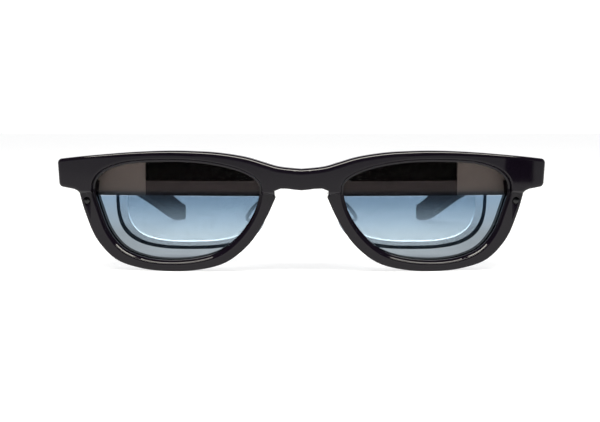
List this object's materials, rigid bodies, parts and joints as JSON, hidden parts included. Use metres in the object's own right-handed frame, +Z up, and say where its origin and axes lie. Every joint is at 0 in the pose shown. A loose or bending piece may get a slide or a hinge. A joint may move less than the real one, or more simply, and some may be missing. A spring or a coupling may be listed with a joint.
{
  "type": "extended reality glasses",
  "caption": "Black-framed see-through display glasses with tinted lenses, curved mirror optics behind them, folding temples, keys and an end-of-temple port.",
  "frame": {"origin": "centre of the footprint, on the surface that the open glasses stand on", "axes": "+X to the wearer's left, +Y back along the temples, +Z up; the lenses face -Y"},
  "size_m": [0.148, 0.153, 0.0364],
  "materials": {
    "gloss_frame": "high gloss black moulding",
    "satin_shell": "fine satin black moulding",
    "front_glass": "blue tint that fades downwards",
    "mirror_glass": "half-silvered, dark edge",
    "splitter_glass": "clear with a bright ground edge",
    "optic_black": "flocked black",
    "display_glass": "dark cover glass",
    "projection_glass": "polished",
    "circuit_green": "solder mask",
    "beam_metal": "machined",
    "sensor_glass": "black infrared window",
    "camera_black": "black lens barrel",
    "hinge_steel": "satin",
    "pin_steel": "turned",
    "screw_steel": "bright",
    "spring_wire": "drawn wire",
    "pad_silicone": "soft smoke grey silicone",
    "tip_rubber": "soft-touch black",
    "speaker_black": "moulded",
    "grille_mesh": "black woven mesh",
    "switch_metal": "stamped",
    "key_black": "gloss black",
    "port_steel": "drawn shell",
    "port_black": "moulded tongue",
    "cable_black": "jacketed harness"
  },
  "bodies": {
    "front": {"right_front_lens": "front_glass", "left_front_lens": "front_glass", "right_curved_mirror": "mirror_glass", "left_curved_mirror": "mirror_glass", "right_beam_splitter": "splitter_glass", "left_beam_splitter": "splitter_glass", "right_engine_housing": "optic_black", "left_engine_housing": "optic_black", "right_display_panel": "display_glass", "left_display_panel": "display_glass", "right_display_board": "circuit_green", "left_display_board": "circuit_green", "right_projection_lens": "projection_glass", "left_projection_lens": "projection_glass", "right_tracking_camera": "camera_black", "left_tracking_camera": "camera_black", "right_camera_window": "sensor_glass", "left_camera_window": "sensor_glass", "right_front_leaf": "hinge_steel", "left_front_leaf": "hinge_steel", "right_hinge_pin": "pin_steel", "left_hinge_pin": "pin_steel", "right_nose_pad": "pad_silicone", "left_nose_pad": "pad_silicone", "front_frame": "gloss_frame", "rear_frame": "satin_shell", "alignment_beam": "beam_metal", "bridge_board": "circuit_green", "proximity_window": "sensor_glass", "front_leaf_screws": "screw_steel", "nose_bracket": "spring_wire"},
    "left_temple": {"left_temple_casing": "gloss_frame", "left_temple_cover": "satin_shell", "left_temple_leaf": "hinge_steel", "left_temple_screws": "screw_steel", "left_ear_tip": "tip_rubber", "left_tip_core": "spring_wire", "left_speaker": "speaker_black", "left_speaker_grille": "grille_mesh", "port_board": "circuit_green", "port_shell": "port_steel", "port_tongue": "port_black", "port_cable": "cable_black"},
    "right_temple": {"right_temple_casing": "gloss_frame", "right_temple_cover": "satin_shell", "right_temple_leaf": "hinge_steel", "right_temple_screws": "screw_steel", "right_ear_tip": "tip_rubber", "right_tip_core": "spring_wire", "right_speaker": "speaker_black", "right_speaker_grille": "grille_mesh", "main_board": "circuit_green", "key_switches": "switch_metal", "rocker_pin": "pin_steel"},
    "brightness_rocker": {"brightness_rocker": "key_black"},
    "mode_button": {"mode_button": "key_black"},
    "power_button": {"power_button": "key_black"}
  },
  "joints": [
    {"name": "left_temple_fold", "type": "hinge", "parent": "front", "child": "left_temple", "pos_m": [0.0655, -0.0475, 0.0291], "axis": [0, 0, 1], "range_deg": [0, 86]},
    {"name": "right_temple_fold", "type": "hinge", "parent": "front", "child": "right_temple", "pos_m": [-0.0655, -0.0475, 0.0291], "axis": [0, 0, -1], "range_deg": [0, 77]},
    {"name": "brightness_rock", "type": "hinge", "parent": "right_temple", "child": "brightness_rocker", "pos_m": [-0.0698, -0.01715, 0.02134], "axis": [1, 0, 0], "range_deg": [-2.5, 2.5], "stiffness_Nm_per_rad": 0.02},
    {"name": "mode_press", "type": "slide", "parent": "right_temple", "child": "mode_button", "axis": [0, 0, 1], "range_m": [0, 0.0004], "stiffness_N_per_m": 500},
    {"name": "power_press", "type": "slide", "parent": "right_temple", "child": "power_button", "axis": [0, 0, -1], "range_m": [0, 0.0004], "stiffness_N_per_m": 500}
  ]
}
